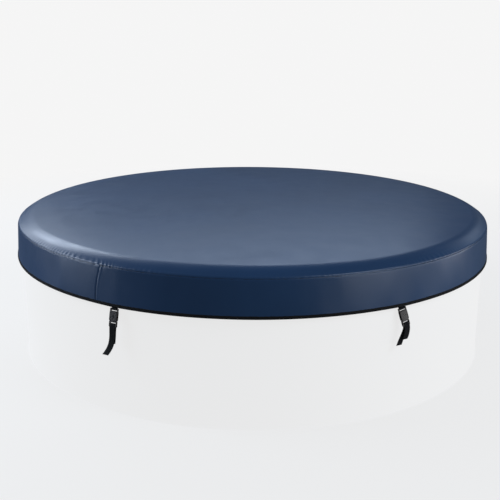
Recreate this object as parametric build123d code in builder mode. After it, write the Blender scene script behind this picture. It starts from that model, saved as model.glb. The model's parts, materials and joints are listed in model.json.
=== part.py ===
from build123d import *
import os
from math import asin, cos, degrees, radians, sin, sqrt

# Round spa cover: a coated-fabric cap with a crowned, air-filled top, a short skirt that fits
# over a round tub, and hanging webbing straps with locking side-release buckles.
# Frame: +Z up, origin at the centre of the hem opening, the hem's lower edge at Z = 0.
# Angles run from -Y (the front) towards +X.

# ---- driving dimensions, in millimetres and degrees ----
HEM_R = 1040.0          # outside of the hem binding
SEAM_R = 1030.0         # top edge of the skirt
SEAM_Z = 143.0
SHOULDER_R = 960.0      # where the crown turns into the rounded shoulder
SHOULDER_Z = 172.5
CROWN_Z = 194.0         # middle of the crown
SKIN = 1.0              # coated fabric
BINDING_H = 12.0        # hem binding, folded round the skirt's edge
BINDING_WALL = 2.0
BINDING_FOLD = 2.5
BORE_R = 1031.0         # inside of the hem binding
LINER_Z = 123.5         # underside, which rests on the tub's rim
BAND_INNER_R = 761.0    # inner edge of the liner's rim band
SKIRT_SEAMS = (-34.0, 146.0)

BLADDER_GAP = 2.0       # crown skin to the inflatable insert
SHEET = 1.0             # the insert's sheets
BLADDER_Z = 127.0
WEB_RADII = (190.0, 400.0, 610.0, 820.0)
BLADDER_EDGE = 56.0     # angle on the shoulder where the insert's side wall starts

ZIP_R = 700.0
ZIP_START = 140.0
ZIP_END = 220.0
ZIP_SLOT = 8.0
SLIDER_AT = 143.0
TAPE_W = 12.0
TAPE_T = 0.8
TEETH_W = 1.7
TEETH_Z = 121.5
TEETH_H = 3.0
PULL_Z = 114.5          # axis of the zip pull
VALVE_Y = 560.0
CAP_HINGE_Z = 108.0
CAP_HINGE_REACH = 21.0

STRAP_ANGLES = (-29.3, 29.6, 150.0, 210.0)
STRAP_LEANS = (12.0, 15.0, 12.0, 9.0)    # outward lean of each hanging buckle
STRAP_ROLLS = (0.0, 10.0, 3.0, -3.0)     # twist of each buckle in its own plane
BAR_R = 1036.0          # buckle's hanging bar, from the cover's axis
BAR_DROP = 9.0          # and below the hem
WEBBING = 25.0
WEBBING_T = 1.5

SOCKET_W = 33.0
SOCKET_T = 11.6
SOCKET_TOP = -7.0       # top of the socket's body, along the strap
MOUTH = -42.0           # mouth of the socket
BAR_PIN_R = 2.5
CAVITY_W = 26.0
CAVITY_T = 7.2
CAVITY_TOP = -15.0
LOCK_Y = -26.0
LOCK_R = 4.4
LOCK_BORE_R = 4.5
CLIP_W = 31.0
CLIP_T = 8.0
CLIP_END = -66.0
GRIP_BAR_Y = -53.5
GRIP_BAR_R = 2.0

# ---- derived sizes ----
SKIRT_HEM_R = HEM_R - BINDING_WALL
DOME_R = (SHOULDER_R ** 2 + (CROWN_Z - SHOULDER_Z) ** 2) / (2 * (CROWN_Z - SHOULDER_Z))
DOME_Z = CROWN_Z - DOME_R
LINER_TOP = LINER_Z + SKIN
BLADDER_TOP = BLADDER_Z + SHEET


def skirt_r(z):
    """Outside radius of the skirt at height z."""
    return SKIRT_HEM_R - (SKIRT_HEM_R - SEAM_R) * z / SEAM_Z


def shoulder_arc():
    """Radius and centre of the arc from the crown, tangent to it, down to the top seam."""
    normal = Vector(SHOULDER_R / DOME_R, (SHOULDER_Z - DOME_Z) / DOME_R)
    drop = Vector(SEAM_R - SHOULDER_R, SEAM_Z - SHOULDER_Z)
    radius = -drop.dot(drop) / (2 * drop.dot(normal))
    return radius, Vector(SHOULDER_R, SHOULDER_Z) - normal * radius


def polar(angle, radius, z=0.0):
    """A point at an angle from the front, a radius and a height."""
    return Vector(sin(radians(angle)) * radius, -cos(radians(angle)) * radius, z)


def radial_plane(angle):
    """Sketch plane through the cover's axis: x is the radius and y is the height."""
    a = radians(angle)
    return Plane(origin=(0, 0, 0), x_dir=(sin(a), -cos(a), 0), z_dir=(-cos(a), -sin(a), 0))


def save(part, name):
    part.label = name
    export_step(part, f"parts/{name}.step")


def turned(name, points, start=0.0, arc=360.0):
    """A ring, or an arc of one, with a straight-sided section."""
    with BuildPart() as ring:
        with BuildSketch(radial_plane(start)):
            with BuildLine():
                Polyline(*points, close=True)
            make_face()
        revolve(axis=Axis.Z, revolution_arc=arc)
    save(ring.part, name)


def crown_section(depth, thickness, end_angle, foot_z=None):
    """Section of a skin that follows the crown, its outside depth below the cover's outside."""
    shoulder_r, centre = shoulder_arc()
    turn = degrees(asin((SHOULDER_Z - centre.Y) / shoulder_r))
    outer, inner = depth, depth + thickness
    with BuildLine() as section:
        CenterArc((0, DOME_Z), DOME_R - outer, turn, 90 - turn)
        CenterArc(centre, shoulder_r - outer, end_angle, turn - end_angle)
        CenterArc(centre, shoulder_r - inner, end_angle, turn - end_angle)
        CenterArc((0, DOME_Z), DOME_R - inner, turn, 90 - turn)
        Line((0, CROWN_Z - outer), (0, CROWN_Z - inner))
        arm = Vector(cos(radians(end_angle)), sin(radians(end_angle)))
        out_end = centre + arm * (shoulder_r - outer)
        in_end = centre + arm * (shoulder_r - inner)
        if foot_z is None:
            Line(out_end, in_end)
        else:
            Line(out_end, (out_end.X, foot_z))
            Line((out_end.X, foot_z), (in_end.X, foot_z))
            Line((in_end.X, foot_z), in_end)
    return section.line


def make_crown():
    shoulder_r, centre = shoulder_arc()
    seam_angle = degrees(asin((SEAM_Z - centre.Y) / shoulder_r))
    with BuildPart() as top_panel:
        with BuildSketch(radial_plane(0)):
            with BuildLine():
                add(crown_section(0, SKIN, seam_angle))
            make_face()
        revolve(axis=Axis.Z)
    save(top_panel.part, "top_panel")

    with BuildPart() as bladder_top:
        with BuildSketch(radial_plane(0)):
            with BuildLine():
                add(crown_section(SKIN + BLADDER_GAP, SHEET, BLADDER_EDGE, BLADDER_TOP))
            make_face()
        revolve(axis=Axis.Z)
    save(bladder_top.part, "bladder_top_sheet")


def make_skirt():
    """Two half-round skirt panels, the tapes behind their seams, and the tape of the top seam."""
    low, high = BINDING_FOLD + 0.1, SEAM_Z - 0.8
    section = [
        (skirt_r(low), low),
        (skirt_r(high), high),
        (skirt_r(high) - SKIN, high),
        (skirt_r(low) - SKIN, low),
    ]
    turned("skirt_panel_front", section, SKIRT_SEAMS[0], 180)
    turned("skirt_panel_rear", section, SKIRT_SEAMS[1], 180)

    tape_low, tape_high, tape_t, tape_half = BINDING_H + 2, LINER_Z - 4, 0.8, 0.55
    with BuildPart() as seam_tapes:
        for angle in SKIRT_SEAMS:
            with BuildSketch(radial_plane(angle - tape_half)):
                with BuildLine():
                    Polyline(
                        (skirt_r(tape_low) - SKIN, tape_low),
                        (skirt_r(tape_high) - SKIN, tape_high),
                        (skirt_r(tape_high) - SKIN - tape_t, tape_high),
                        (skirt_r(tape_low) - SKIN - tape_t, tape_low),
                        close=True,
                    )
                make_face()
            revolve(axis=Axis.Z, revolution_arc=2 * tape_half)
    save(seam_tapes.part, "skirt_seam_tapes")

    low, high = LINER_TOP + 1, SEAM_Z - 2
    turned("top_seam_tape", [
        (skirt_r(low) - SKIN, low),
        (skirt_r(high) - SKIN, high),
        (skirt_r(high) - SKIN - tape_t, high),
        (skirt_r(low) - SKIN - tape_t, low),
    ])


def make_hem_binding():
    """A tape folded round the skirt's lower edge, with an upright inner face."""
    top, fold = BINDING_H, BINDING_FOLD
    turned("hem_binding", [
        (BORE_R, 0),
        (HEM_R, 0),
        (skirt_r(top) + BINDING_WALL, top),
        (skirt_r(top), top),
        (skirt_r(fold), fold),
        (skirt_r(fold) - SKIN, fold),
        (skirt_r(top) - SKIN, top),
        (BORE_R, top),
    ])


def zip_arc(inner, outer, z, height, start=ZIP_START, end=ZIP_END):
    """An arc of flat strip that runs along the zip."""
    with BuildPart() as strip:
        with BuildSketch(radial_plane(start)):
            with BuildLine():
                Polyline((inner, z), (outer, z), (outer, z + height), (inner, z + height), close=True)
            make_face()
        revolve(axis=Axis.Z, revolution_arc=end - start)
    return strip.part


def make_liner():
    """The underside: a rim band, a centre panel with the zip's slot, and a tape over their seam."""
    with BuildPart() as rim_band:
        with BuildSketch(Plane.XY.offset(LINER_Z)):
            Circle(skirt_r(LINER_TOP) - SKIN - 0.5)
            Circle(BAND_INNER_R, mode=Mode.SUBTRACT)
        extrude(amount=SKIN)
    save(rim_band.part, "liner_rim_band")

    valve_hole_r = 30.0
    slot = zip_arc(ZIP_R - ZIP_SLOT / 2, ZIP_R + ZIP_SLOT / 2, LINER_Z, SKIN)
    with BuildPart() as centre_panel:
        with BuildSketch(Plane.XY.offset(LINER_Z)):
            Circle(BAND_INNER_R - 0.5)
            with Locations((0, VALVE_Y)):
                Circle(valve_hole_r, mode=Mode.SUBTRACT)
        extrude(amount=SKIN)
        add(slot, mode=Mode.SUBTRACT)
    save(centre_panel.part, "liner_centre_panel")

    with BuildPart() as seam_tape:
        with BuildSketch(Plane.XY.offset(LINER_TOP)):
            Circle(BAND_INNER_R + TAPE_W)
            Circle(BAND_INNER_R - TAPE_W, mode=Mode.SUBTRACT)
        extrude(amount=TAPE_T)
    save(seam_tape.part, "liner_seam_tape")


def make_bladder():
    """The insert's bottom sheet and the ring webs that hold its crown flat."""
    shoulder_r, centre = shoulder_arc()
    edge_r = centre.X + (shoulder_r - SKIN - BLADDER_GAP) * cos(radians(BLADDER_EDGE))
    with BuildPart() as bottom_sheet:
        with BuildSketch(Plane.XY.offset(BLADDER_Z)):
            Circle(edge_r)
            with Locations((0, VALVE_Y)):
                Circle(13.5, mode=Mode.SUBTRACT)
        extrude(amount=SHEET)
    save(bottom_sheet.part, "bladder_bottom_sheet")

    for number, radius in enumerate(WEB_RADII, 1):
        ceiling = DOME_Z + sqrt((DOME_R - SKIN - BLADDER_GAP - SHEET) ** 2 - radius ** 2) - 0.2
        with BuildPart() as web:
            with BuildSketch(Plane.XY.offset(BLADDER_TOP)):
                Circle(radius)
                Circle(radius - SHEET, mode=Mode.SUBTRACT)
            extrude(amount=ceiling - BLADDER_TOP)
        save(web.part, f"bladder_web_{number}")


def make_zip():
    """Zip tapes, two rows of teeth, end stops, the slider and its pull."""
    edge, stop_arc = TEETH_W + 0.1, 0.4
    tape_arcs = [
        zip_arc(inner, inner + TAPE_W, LINER_Z - TAPE_T, TAPE_T)
        for inner in (ZIP_R - edge - 0.1 - TAPE_W, ZIP_R + edge + 0.1)
    ]
    teeth_arcs = [
        zip_arc(inner, inner + TEETH_W, TEETH_Z, TEETH_H, ZIP_START + 0.5, ZIP_END - 0.5)
        for inner in (ZIP_R - edge, ZIP_R + 0.1)
    ]
    stop_arcs = [
        zip_arc(ZIP_R - edge, ZIP_R + edge, TEETH_Z - 2, TEETH_H + 2, start, start + stop_arc)
        for start in (ZIP_START, ZIP_END - stop_arc)
    ]
    for name, arcs in (("zip_tapes", tape_arcs), ("zip_teeth", teeth_arcs), ("zip_end_stops", stop_arcs)):
        with BuildPart() as rows:
            add(arcs)
        save(rows.part, name)

    plate_top, plate_t, half_w, half_l = TEETH_Z - 0.3, 2.7, 5.0, 9.0
    base = Plane(
        origin=polar(SLIDER_AT, ZIP_R, plate_top),
        x_dir=polar(SLIDER_AT, 1),
        z_dir=(0, 0, 1),
    )
    ear_in, ear_t, pin_r = 3.0, 1.2, 1.2
    ear_drop = plate_top - plate_t - PULL_Z
    with BuildPart() as slider:
        with BuildSketch(base):
            RectangleRounded(2 * half_w, 2 * half_l, 3)
        extrude(amount=-plate_t)
        with BuildSketch(base):
            for side in (-1, 1):
                with Locations((side * (half_w - 1.2), 0)):
                    Rectangle(2.2, 2 * half_l - 7)
        extrude(amount=1.0)
        with BuildSketch(base.offset(-plate_t)):
            for side in (-1, 1):
                with Locations((side * (ear_in + ear_t / 2), 0)):
                    Rectangle(ear_t, 6)
        extrude(amount=-(ear_drop + 2.4))
        pin_plane = Plane(
            origin=polar(SLIDER_AT, ZIP_R - ear_in - ear_t / 2, PULL_Z),
            x_dir=(0, 0, 1),
            z_dir=polar(SLIDER_AT, 1),
        )
        with BuildSketch(pin_plane):
            Circle(pin_r)
        extrude(amount=2 * ear_in + ear_t)
    save(slider.part, "zip_slider")

    neck_w, pull_l, eye_r, pull_t = 5.0, 32.0, 3.2, 2.2
    tab_w, tab_l, tab_hole_r = 10.0, 19.0, 1.8
    tab_z = PULL_Z - pull_l + tab_l / 2 + 1
    neck_plane = Plane(
        origin=polar(SLIDER_AT, ZIP_R - neck_w / 2, PULL_Z),
        x_dir=(0, 0, -1),
        z_dir=polar(SLIDER_AT, 1),
    )
    tab_plane = Plane(
        origin=polar(SLIDER_AT, ZIP_R, tab_z),
        x_dir=polar(SLIDER_AT, 1),
        z_dir=polar(SLIDER_AT + 90, 1),
    )
    with BuildPart() as pull:
        with BuildSketch(neck_plane):
            Circle(eye_r)
            with Locations((pull_l / 2, 0)):
                Rectangle(pull_l, pull_t)
            Circle(pin_r + 0.3, mode=Mode.SUBTRACT)
        extrude(amount=neck_w)
        with BuildSketch(tab_plane):
            RectangleRounded(tab_w, tab_l, 2.5)
            with Locations((0, -tab_l / 4)):
                Circle(tab_hole_r, mode=Mode.SUBTRACT)
        extrude(amount=pull_t / 2, both=True)
    save(pull.part, "zip_pull")


def make_valve():
    """The insert's air valve, in a hole in the liner, with a diaphragm and a hinged cap."""
    neck_r, bore_r, neck_low, flange_r = 16.0, 12.0, 110.0, 26.0
    seat_r, seat_z = 13.5, 124.0
    hinge_y = VALVE_Y - CAP_HINGE_REACH
    ear_in, ear_out, pin_r = 4.0, 6.5, 1.5
    with BuildPart() as body:
        with BuildSketch(Plane.XY.offset(neck_low)):
            with Locations((0, VALVE_Y)):
                Circle(neck_r)
        extrude(amount=BLADDER_Z - neck_low)
        with BuildSketch(Plane.XY.offset(LINER_TOP + 0.3)):
            with Locations((0, VALVE_Y)):
                Circle(flange_r)
        extrude(amount=BLADDER_Z - LINER_TOP - 0.3)
        with BuildSketch(Plane.YZ):
            with Locations((hinge_y + 2.5, neck_low + 2.5)):
                Rectangle(10, 5)
            with Locations((hinge_y, CAP_HINGE_Z)):
                Circle(2.8)
        extrude(amount=ear_out, both=True)
        with BuildSketch(Plane.YZ):
            with Locations((hinge_y, CAP_HINGE_Z)):
                Rectangle(8, 16)
        extrude(amount=ear_in, both=True, mode=Mode.SUBTRACT)
        with BuildSketch(Plane.XY.offset(neck_low)):
            with Locations((0, VALVE_Y)):
                Circle(bore_r)
        extrude(amount=BLADDER_Z - neck_low, mode=Mode.SUBTRACT)
        with BuildSketch(Plane.XY.offset(seat_z)):
            with Locations((0, VALVE_Y)):
                Circle(seat_r)
        extrude(amount=BLADDER_Z - seat_z, mode=Mode.SUBTRACT)
        with BuildSketch(Plane.YZ):
            with Locations((hinge_y, CAP_HINGE_Z)):
                Circle(pin_r)
        extrude(amount=ear_out, both=True)
    save(body.part, "valve_body")

    with BuildPart() as diaphragm:
        with BuildSketch(Plane.XY.offset(seat_z)):
            with Locations((0, VALVE_Y)):
                Circle(seat_r - 0.3)
        extrude(amount=1.2)
    save(diaphragm.part, "valve_diaphragm")

    cap_top, cap_t, plug_r, plug_h = neck_low - 0.4, 3.2, 10.5, 4.5
    with BuildPart() as cap:
        with BuildSketch(Plane.XY.offset(cap_top - cap_t)):
            with Locations((0, VALVE_Y)):
                Circle(neck_r + 1.5)
            with Locations((0, VALVE_Y - CAP_HINGE_REACH / 2 - 2)):
                Rectangle(2 * (ear_in - 0.4), CAP_HINGE_REACH - 4)
        extrude(amount=cap_t)
        with BuildSketch(Plane.XY.offset(cap_top)):
            with Locations((0, VALVE_Y)):
                Circle(plug_r)
        extrude(amount=plug_h)
        with BuildSketch(Plane.YZ):
            with Locations((hinge_y, CAP_HINGE_Z)):
                Circle(pin_r + 1.3)
        extrude(amount=ear_in - 0.4, both=True)
        with BuildSketch(Plane.YZ):
            with Locations((hinge_y, CAP_HINGE_Z)):
                Circle(pin_r + 0.3)
        extrude(amount=ear_in, both=True, mode=Mode.SUBTRACT)
    save(cap.part, "valve_cap")


def strap_plane(index):
    """Plane of one hanging buckle: origin on its bar, x along the bar, y up the strap, z outwards."""
    angle = STRAP_ANGLES[index]
    upright = Plane(
        origin=polar(angle, BAR_R, -BAR_DROP),
        x_dir=polar(angle + 90, 1),
        z_dir=polar(angle, 1),
    )
    turn = Rotation(0, 0, STRAP_ROLLS[index]) * Rotation(-STRAP_LEANS[index], 0, 0)
    return Plane(upright.location * turn)


def side_plane(plane):
    """Plane across a buckle's thickness: x points outwards and y up the strap."""
    return Plane(origin=plane.origin, x_dir=plane.z_dir, z_dir=-plane.x_dir)


def make_hanger_loop(index):
    """Webbing sewn behind the hem binding and folded round the buckle's bar."""
    inner, outer, sewn_to = BORE_R - 3.1, BORE_R - 0.1, BINDING_H - 1
    hole_r = BAR_PIN_R + 0.3
    eye_r = hole_r + WEBBING_T
    front_r, back_r = BAR_R + 2.4, BAR_R - 3.2
    angle, plane = STRAP_ANGLES[index], strap_plane(index)
    with BuildPart() as loop:
        with BuildSketch(radial_plane(angle)):
            with BuildLine():
                Polyline(
                    (inner, sewn_to),
                    (outer, sewn_to),
                    (outer, -1),
                    (front_r, 3 - BAR_DROP),
                    (front_r, -BAR_DROP),
                    (back_r, -BAR_DROP),
                    (inner, -2),
                    close=True,
                )
            make_face()
        extrude(amount=WEBBING / 2, both=True)
        with BuildSketch(side_plane(plane)):
            Circle(eye_r)
        extrude(amount=WEBBING / 2, both=True)
        with BuildSketch(side_plane(plane)):
            Circle(hole_r)
        extrude(amount=WEBBING, both=True, mode=Mode.SUBTRACT)
    save(loop.part, f"hanger_loop_{index + 1}")


def make_socket(index):
    """Female half: a round hanging bar, a slot for the loop, and a hollow body with a lock bore."""
    plane = strap_plane(index)
    arm_w, rim, corner, edge = 3.0, 3.1, 4.0, 1.2
    window_w, window_l, window_y = 9.0, 14.0, -28.0
    with BuildPart() as socket:
        with BuildSketch(plane.offset(-SOCKET_T / 2)):
            with Locations((0, (SOCKET_TOP + MOUTH) / 2)):
                RectangleRounded(SOCKET_W, SOCKET_TOP - MOUTH, corner)
        extrude(amount=SOCKET_T)
        front = socket.faces().sort_by(Axis(plane.origin, plane.z_dir))
        chamfer(front[0].edges() + front[-1].edges(), edge)
        with BuildSketch(plane.offset(-rim)):
            for side in (-1, 1):
                with Locations((side * (SOCKET_W - arm_w) / 2, (SOCKET_TOP - 1 + rim) / 2)):
                    Rectangle(arm_w, rim - SOCKET_TOP + 1)
        extrude(amount=2 * rim)
        with BuildSketch(side_plane(plane)):
            Circle(BAR_PIN_R)
        extrude(amount=SOCKET_W / 2, both=True)
        with BuildSketch(plane.offset(-CAVITY_T / 2)):
            with Locations((0, (CAVITY_TOP + MOUTH - 1) / 2)):
                Rectangle(CAVITY_W, CAVITY_TOP - MOUTH + 1)
            for side in (-1, 1):
                with Locations((side * SOCKET_W / 2, window_y)):
                    RectangleRounded(window_w, window_l, 1.5)
        extrude(amount=CAVITY_T, mode=Mode.SUBTRACT)
        with BuildSketch(plane):
            with Locations((0, LOCK_Y)):
                Circle(LOCK_BORE_R)
        extrude(amount=SOCKET_T, mode=Mode.SUBTRACT)
    save(socket.part, f"buckle_socket_{index + 1}")


def make_lock_barrel(index):
    """Round lock in the socket's front wall, with a slot for its key."""
    plane = strap_plane(index)
    low, high = CAVITY_T / 2 + 0.2, SOCKET_T / 2 + 0.5
    key_l, key_w, key_depth = 6.0, 1.6, 1.6
    with BuildPart() as barrel:
        with BuildSketch(plane.offset(low)):
            with Locations((0, LOCK_Y)):
                Circle(LOCK_R)
        extrude(amount=high - low)
        with BuildSketch(plane.offset(high)):
            with Locations((0, LOCK_Y)):
                SlotOverall(key_l, key_w, rotation=90)
        extrude(amount=-key_depth, mode=Mode.SUBTRACT)
    save(barrel.part, f"lock_barrel_{index + 1}")


def make_clip(index):
    """Male half: two prongs and a guide inside the socket, and two bars that grip the webbing."""
    plane = strap_plane(index)
    base_top, base_low = MOUTH - 0.4, MOUTH - 5
    frame_w, end_bar, end_cut, corner = 2.6, 3.5, 2.2, 2.5
    prong_in, prong_w, prong_t, prong_top = 7.0, 4.0, 6.0, -20.0
    button_w, button_l, button_y, guide_w = 3.0, 12.0, -28.0, 3.0
    with BuildPart() as clip:
        with BuildSketch(plane.offset(-CLIP_T / 2)):
            with Locations((0, (base_top + CLIP_END) / 2)):
                RectangleRounded(CLIP_W, base_top - CLIP_END, corner)
            with Locations((0, (base_low + CLIP_END + end_bar) / 2)):
                Rectangle(CLIP_W - 2 * frame_w, base_low - CLIP_END - end_bar, mode=Mode.SUBTRACT)
        extrude(amount=CLIP_T)
        with BuildSketch(side_plane(plane)):
            with Locations((0, GRIP_BAR_Y)):
                Circle(GRIP_BAR_R)
        extrude(amount=CLIP_W / 2 - 0.5, both=True)
        with BuildSketch(plane.offset(-prong_t / 2)):
            for side in (-1, 1):
                with Locations((side * (prong_in + prong_w / 2), (prong_top + base_top) / 2)):
                    RectangleRounded(prong_w, prong_top - base_top + 2, 1.8)
                with Locations((side * (prong_in + prong_w), button_y)):
                    RectangleRounded(button_w, button_l, 1.4)
            with Locations((0, (prong_top + base_top) / 2)):
                Rectangle(guide_w, prong_top - base_top + 2)
        extrude(amount=prong_t)
        with BuildSketch(plane.offset(CLIP_T / 2)):
            with Locations((0, CLIP_END + end_bar / 2)):
                Rectangle(CLIP_W, end_bar + 1)
        extrude(amount=-end_cut, mode=Mode.SUBTRACT)
        with BuildSketch(plane.offset(-CLIP_T / 2)):
            with Locations((0, CLIP_END + end_bar / 2)):
                Rectangle(CLIP_W, end_bar + 1)
        extrude(amount=end_cut, mode=Mode.SUBTRACT)
    save(clip.part, f"buckle_clip_{index + 1}")


def make_strap_tail(index):
    """Webbing round the clip's grip bar: a rear leg towards the tub and a free front end."""
    plane, lean = strap_plane(index), STRAP_LEANS[index]
    wrap = GRIP_BAR_R + 0.25 + WEBBING_T / 2
    clear = 3.4
    knee = CLIP_END - 4
    top = GRIP_BAR_Y + wrap
    rear_len, front_len = 74.0, 84.0
    rear_bend, front_bend = radians(lean + 1), radians(lean - 3)
    with BuildPart() as tail:
        with BuildSketch(side_plane(plane)):
            with BuildLine() as route:
                FilletPolyline(
                    (-clear - rear_len * sin(rear_bend), knee - rear_len * cos(rear_bend)),
                    (-clear, knee),
                    (-wrap, GRIP_BAR_Y - 1),
                    (-wrap, top),
                    (wrap, top),
                    (wrap, GRIP_BAR_Y - 1),
                    (clear, knee),
                    (clear - front_len * sin(front_bend), knee - front_len * cos(front_bend)),
                    radius=(20, 2, 2.7, 2.7, 2, 20),
                )
            trace(line_width=WEBBING_T)
        extrude(amount=WEBBING / 2, both=True)
    save(tail.part, f"strap_tail_{index + 1}")


def main():
    os.makedirs("parts", exist_ok=True)
    make_crown()
    make_skirt()
    make_hem_binding()
    make_liner()
    make_bladder()
    make_zip()
    make_valve()
    for index in range(len(STRAP_ANGLES)):
        make_hanger_loop(index)
        make_socket(index)
        make_lock_barrel(index)
        make_clip(index)
        make_strap_tail(index)


main()
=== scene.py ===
"""Round spa cover: its cloth cap, hem, liner, zip, straps and buckles, and a plain stage."""

import json
import math
from contextlib import contextmanager

import bpy
import numpy as np
from bpy.props import FloatProperty, FloatVectorProperty, IntProperty, PointerProperty
from bpy.types import Operator, Panel, PropertyGroup
from mathutils import Matrix, Vector


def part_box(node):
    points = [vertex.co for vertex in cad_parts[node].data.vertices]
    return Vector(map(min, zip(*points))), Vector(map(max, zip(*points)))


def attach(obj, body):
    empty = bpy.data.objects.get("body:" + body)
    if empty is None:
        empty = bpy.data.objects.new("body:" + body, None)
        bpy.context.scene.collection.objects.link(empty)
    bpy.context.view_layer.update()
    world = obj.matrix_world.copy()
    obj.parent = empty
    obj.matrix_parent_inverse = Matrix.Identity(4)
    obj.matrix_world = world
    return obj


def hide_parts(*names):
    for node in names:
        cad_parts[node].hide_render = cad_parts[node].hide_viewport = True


bl_info = {
    "name": "Spa Cover",
    "version": (1, 0, 0),
    "blender": (4, 5, 0),
    "location": "3D View > Sidebar > Spa Cover",
    "description": "Builds a round spa cover with its straps and buckles around its fixed frame",
    "category": "Object",
}

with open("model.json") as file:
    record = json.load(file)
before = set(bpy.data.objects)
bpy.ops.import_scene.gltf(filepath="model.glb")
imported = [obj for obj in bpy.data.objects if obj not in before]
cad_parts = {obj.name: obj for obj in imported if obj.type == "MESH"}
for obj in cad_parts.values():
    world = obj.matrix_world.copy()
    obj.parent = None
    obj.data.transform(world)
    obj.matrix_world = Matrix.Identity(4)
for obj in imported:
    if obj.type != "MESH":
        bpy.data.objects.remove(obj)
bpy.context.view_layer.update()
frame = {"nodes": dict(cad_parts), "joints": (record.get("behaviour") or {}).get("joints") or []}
MM = 0.001

# Places read from the frame.
HEM_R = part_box("hem_binding")[1][0]
HEM_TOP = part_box("hem_binding")[1][2]
SEAM_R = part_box("top_panel")[1][0]
SEAM_Z = round(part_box("top_panel")[0][2], 3) + MM
CROWN_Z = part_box("top_panel")[1][2]
LINER_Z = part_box("liner_rim_band")[0][2]
LINER_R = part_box("liner_rim_band")[1][0]
CENTRE_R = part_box("liner_centre_panel")[1][0]
ZIP_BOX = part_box("zip_teeth")
STRAPS = range(1, 5)
JOINTS = {joint["name"]: joint for joint in frame["joints"]}
BARS = [Vector(JOINTS[f"buckle_swing_{number}"]["pos_m"]) for number in STRAPS]
STRAP_ANGLES = [math.degrees(math.atan2(bar.x, -bar.y)) for bar in BARS]

# Sizes that belong to the cloth.
SHOULDER_R = 0.960
SHOULDER_Z = 0.1725
HEM_WALL = 2 * MM
SKIN = 1 * MM
SKIRT_SEAMS = (-34.0, 146.0)
ZIP_R = 0.700
ZIP_ARC = (140.0, 220.0)
ZIP_INSET = 0.7
WEBBING_W = 25 * MM
WEBBING_T = 1.3 * MM
GRIP_DROP = 53.5 * MM
KNEE_DROP = 70 * MM
LEG_GAP = 3.6 * MM
# Rear leg and its drift sideways, free end, how far it curls outwards, and its drift sideways.
TAIL_SHAPES = (
    (58 * MM, -9 * MM, 96 * MM, 24 * MM, -13 * MM),
    (64 * MM, -30 * MM, 44 * MM, -3 * MM, -12 * MM),
    (76 * MM, 3 * MM, 90 * MM, 18 * MM, 6 * MM),
    (74 * MM, -2 * MM, 80 * MM, 8 * MM, -5 * MM),
)


# ---- settings ----


class SpaCoverSettings(PropertyGroup):
    """Sizes and colours of the cover that a user may change."""

    laminate: FloatVectorProperty(
        name="Laminate",
        description="Colour of the coated fabric",
        subtype="COLOR",
        default=(0.019, 0.058, 0.143),
        min=0.0,
        max=1.0,
    )
    webbing: FloatVectorProperty(
        name="Webbing",
        description="Colour of the straps and the hem binding",
        subtype="COLOR",
        default=(0.009, 0.009, 0.010),
        min=0.0,
        max=1.0,
    )
    plastic: FloatVectorProperty(
        name="Buckles",
        description="Colour of the moulded buckles",
        subtype="COLOR",
        default=(0.050, 0.041, 0.039),
        min=0.0,
        max=1.0,
    )
    foil: FloatVectorProperty(
        name="Liner",
        description="Colour of the foil-faced liner",
        subtype="COLOR",
        default=(0.56, 0.57, 0.60),
        min=0.0,
        max=1.0,
    )
    segments: IntProperty(
        name="Segments",
        description="Steps round the cover's rim",
        default=1440,
        min=360,
        max=1440,
    )
    pucker: FloatProperty(
        name="Pucker",
        description="Height of the gathers along the top seam",
        unit="LENGTH",
        default=1.6 * MM,
        min=0.0,
        max=5 * MM,
    )
    hem_dip: FloatProperty(
        name="Hem dip",
        description="How far each strap pulls the hem down",
        unit="LENGTH",
        default=1.8 * MM,
        min=0.0,
        max=5 * MM,
    )
    floor_drop: FloatProperty(
        name="Floor drop",
        description="Height of the hem above the floor",
        unit="LENGTH",
        default=0.425,
        min=0.2,
        max=1.0,
    )


def settings():
    return bpy.context.scene.spa_cover


# ---- modelling helpers ----


def only(obj):
    """Select one object alone and make it active."""
    bpy.ops.object.select_all(action="DESELECT")
    obj.select_set(True)
    bpy.context.view_layer.objects.active = obj


@contextmanager
def editing(obj, select="SELECT"):
    """Edit mode on one object, with everything selected or nothing."""
    only(obj)
    bpy.ops.object.mode_set(mode="EDIT")
    bpy.ops.mesh.select_mode(type="VERT")
    bpy.ops.mesh.select_all(action=select)
    yield
    bpy.ops.object.mode_set(mode="OBJECT")


def start(name):
    """Name the primitive that was just added and put its place in its mesh."""
    obj = bpy.context.active_object
    obj.name = name
    obj.data.name = name
    only(obj)
    bpy.ops.object.transform_apply(location=True, rotation=True, scale=True)
    return obj


def modifier(obj, kind, **values):
    """Add a modifier and apply it."""
    only(obj)
    mod = obj.modifiers.new(kind.title(), kind)
    for key, value in values.items():
        setattr(mod, key, value)
    bpy.ops.object.modifier_apply(modifier=mod.name)


def smooth(obj, angle=35.0):
    only(obj)
    bpy.ops.object.shade_smooth_by_angle(angle=math.radians(angle))


def points_of(obj):
    co = np.empty(len(obj.data.vertices) * 3)
    obj.data.vertices.foreach_get("co", co)
    return co.reshape(-1, 3)


def set_points(obj, co):
    obj.data.vertices.foreach_set("co", co.reshape(-1).astype(float))
    obj.data.update()


def polar_of(co):
    """Radius, angle from the front in degrees, and height of each point."""
    return np.hypot(co[:, 0], co[:, 1]), np.degrees(np.arctan2(co[:, 0], -co[:, 1])), co[:, 2]


def from_polar(radius, angle, height):
    a = np.radians(angle)
    return np.stack([radius * np.sin(a), -radius * np.cos(a), height], axis=-1)


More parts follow.
